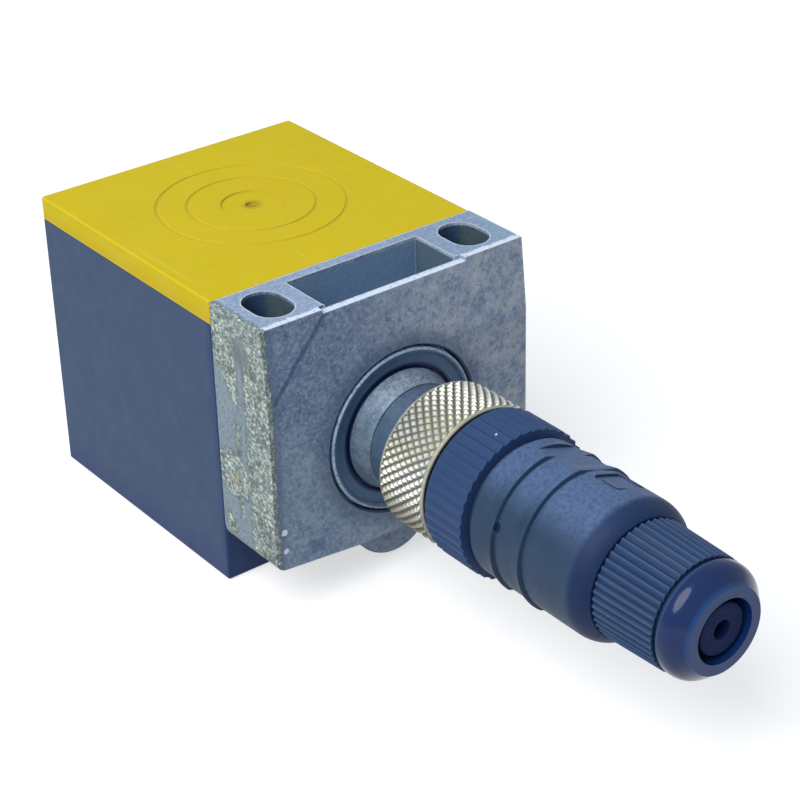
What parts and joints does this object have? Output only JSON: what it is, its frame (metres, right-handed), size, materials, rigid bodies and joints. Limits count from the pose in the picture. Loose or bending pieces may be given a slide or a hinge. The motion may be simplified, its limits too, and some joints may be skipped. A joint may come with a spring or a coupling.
{
  "type": "inductive proximity sensor",
  "caption": "Cubic inductive proximity sensor head on a die-cast swivel base, with a field-wireable M12 plug screwed on.",
  "frame": {"origin": "centre of the head's rear face, opposite the active face", "axes": "+Z out of the active face, -Y along the connector, X across the two screw slots"},
  "size_m": [0.04, 0.1077, 0.04],
  "materials": {
    "cap_yellow": "moulded yellow plastic, slightly satin",
    "housing_black": "moulded blue-black plastic",
    "zinc_casting": "weathered die-cast zinc",
    "nickel": "nickel-plated brass, knurled",
    "plug_black": "moulded black polyamide",
    "knob_black": "glossy black polyamide",
    "ferrite": "sintered ferrite",
    "copper": "enamelled copper",
    "natural_plastic": "natural plastic",
    "board_green": "glass-fibre board",
    "chip_black": "moulded chip package",
    "can": "drawn aluminium can",
    "trimmer_blue": "moulded trimmer body",
    "resin": "cast resin",
    "brass": "bright brass",
    "steel": "zinc-plated steel",
    "foam": "closed-cell foam",
    "seal_rubber": "black rubber"
  },
  "bodies": {
    "base": {"base_plate": "zinc_casting"},
    "lock_slip": {"lock_pad": "brass"},
    "lock_drive": {"lock_screw": "steel"},
    "head": {"active_face": "cap_yellow", "housing": "housing_black", "ferrite_core": "ferrite", "coil_bobbin": "natural_plastic", "coil_winding": "copper", "core_cushion": "foam", "coil_pins": "brass", "circuit_board": "board_green", "oscillator_chip": "chip_black", "output_driver": "chip_black", "protection_diodes": "chip_black", "capacitors": "can", "trim_resistor": "trimmer_blue", "potting_resin": "resin", "turret": "zinc_casting", "turret_gasket": "seal_rubber", "turret_nut": "steel", "contact_carrier": "natural_plastic", "contact_pins": "brass", "lead_wires": "copper"},
    "plug": {"socket_insert": "plug_black", "socket_contacts": "brass", "terminal_screws": "steel", "plug_seal": "seal_rubber", "ribbed_ring": "plug_black", "body_seal": "seal_rubber", "grip_body": "plug_black", "clamp_cage": "natural_plastic", "cable_seal": "seal_rubber"},
    "coupling": {"coupling_nut": "nickel"},
    "gland_slip": {"thrust_ring": "steel"},
    "gland_nut": {"clamp_nut": "knob_black"}
  },
  "joints": [
    {"name": "head_turn", "type": "hinge", "parent": "base", "child": "head", "pos_m": [0, -0.02, 0.02], "axis": [0, -1, 0], "continuous": true},
    {"name": "lock_slide", "type": "slide", "parent": "base", "child": "lock_slip", "axis": [0, 0, -1], "range_m": [0, 0.0012]},
    {"name": "lock_turn", "type": "hinge", "parent": "lock_slip", "child": "lock_drive", "pos_m": [0, -0.0253, 0.004], "axis": [0, 0, -1], "range_deg": [0, 618]},
    {"name": "plug_slide", "type": "slide", "parent": "head", "child": "plug", "axis": [0, -1, 0], "range_m": [0, 0.004]},
    {"name": "nut_turn", "type": "hinge", "parent": "plug", "child": "coupling", "pos_m": [0, -0.043, 0.02], "axis": [0, -1, 0], "range_deg": [0, 1441]},
    {"name": "gland_slide", "type": "slide", "parent": "plug", "child": "gland_slip", "axis": [0, -1, 0], "range_m": [0, 0.004]},
    {"name": "clamp_turn", "type": "hinge", "parent": "gland_slip", "child": "gland_nut", "pos_m": [0, -0.08, 0.02], "axis": [0, -1, 0], "range_deg": [0, 1441]}
  ],
  "couplings": [
    {"joint": "lock_turn", "follows": "lock_slide", "rad_per_m": 8976},
    {"joint": "nut_turn", "follows": "plug_slide", "rad_per_m": 6283.2},
    {"joint": "clamp_turn", "follows": "gland_slide", "rad_per_m": 6283.2}
  ]
}
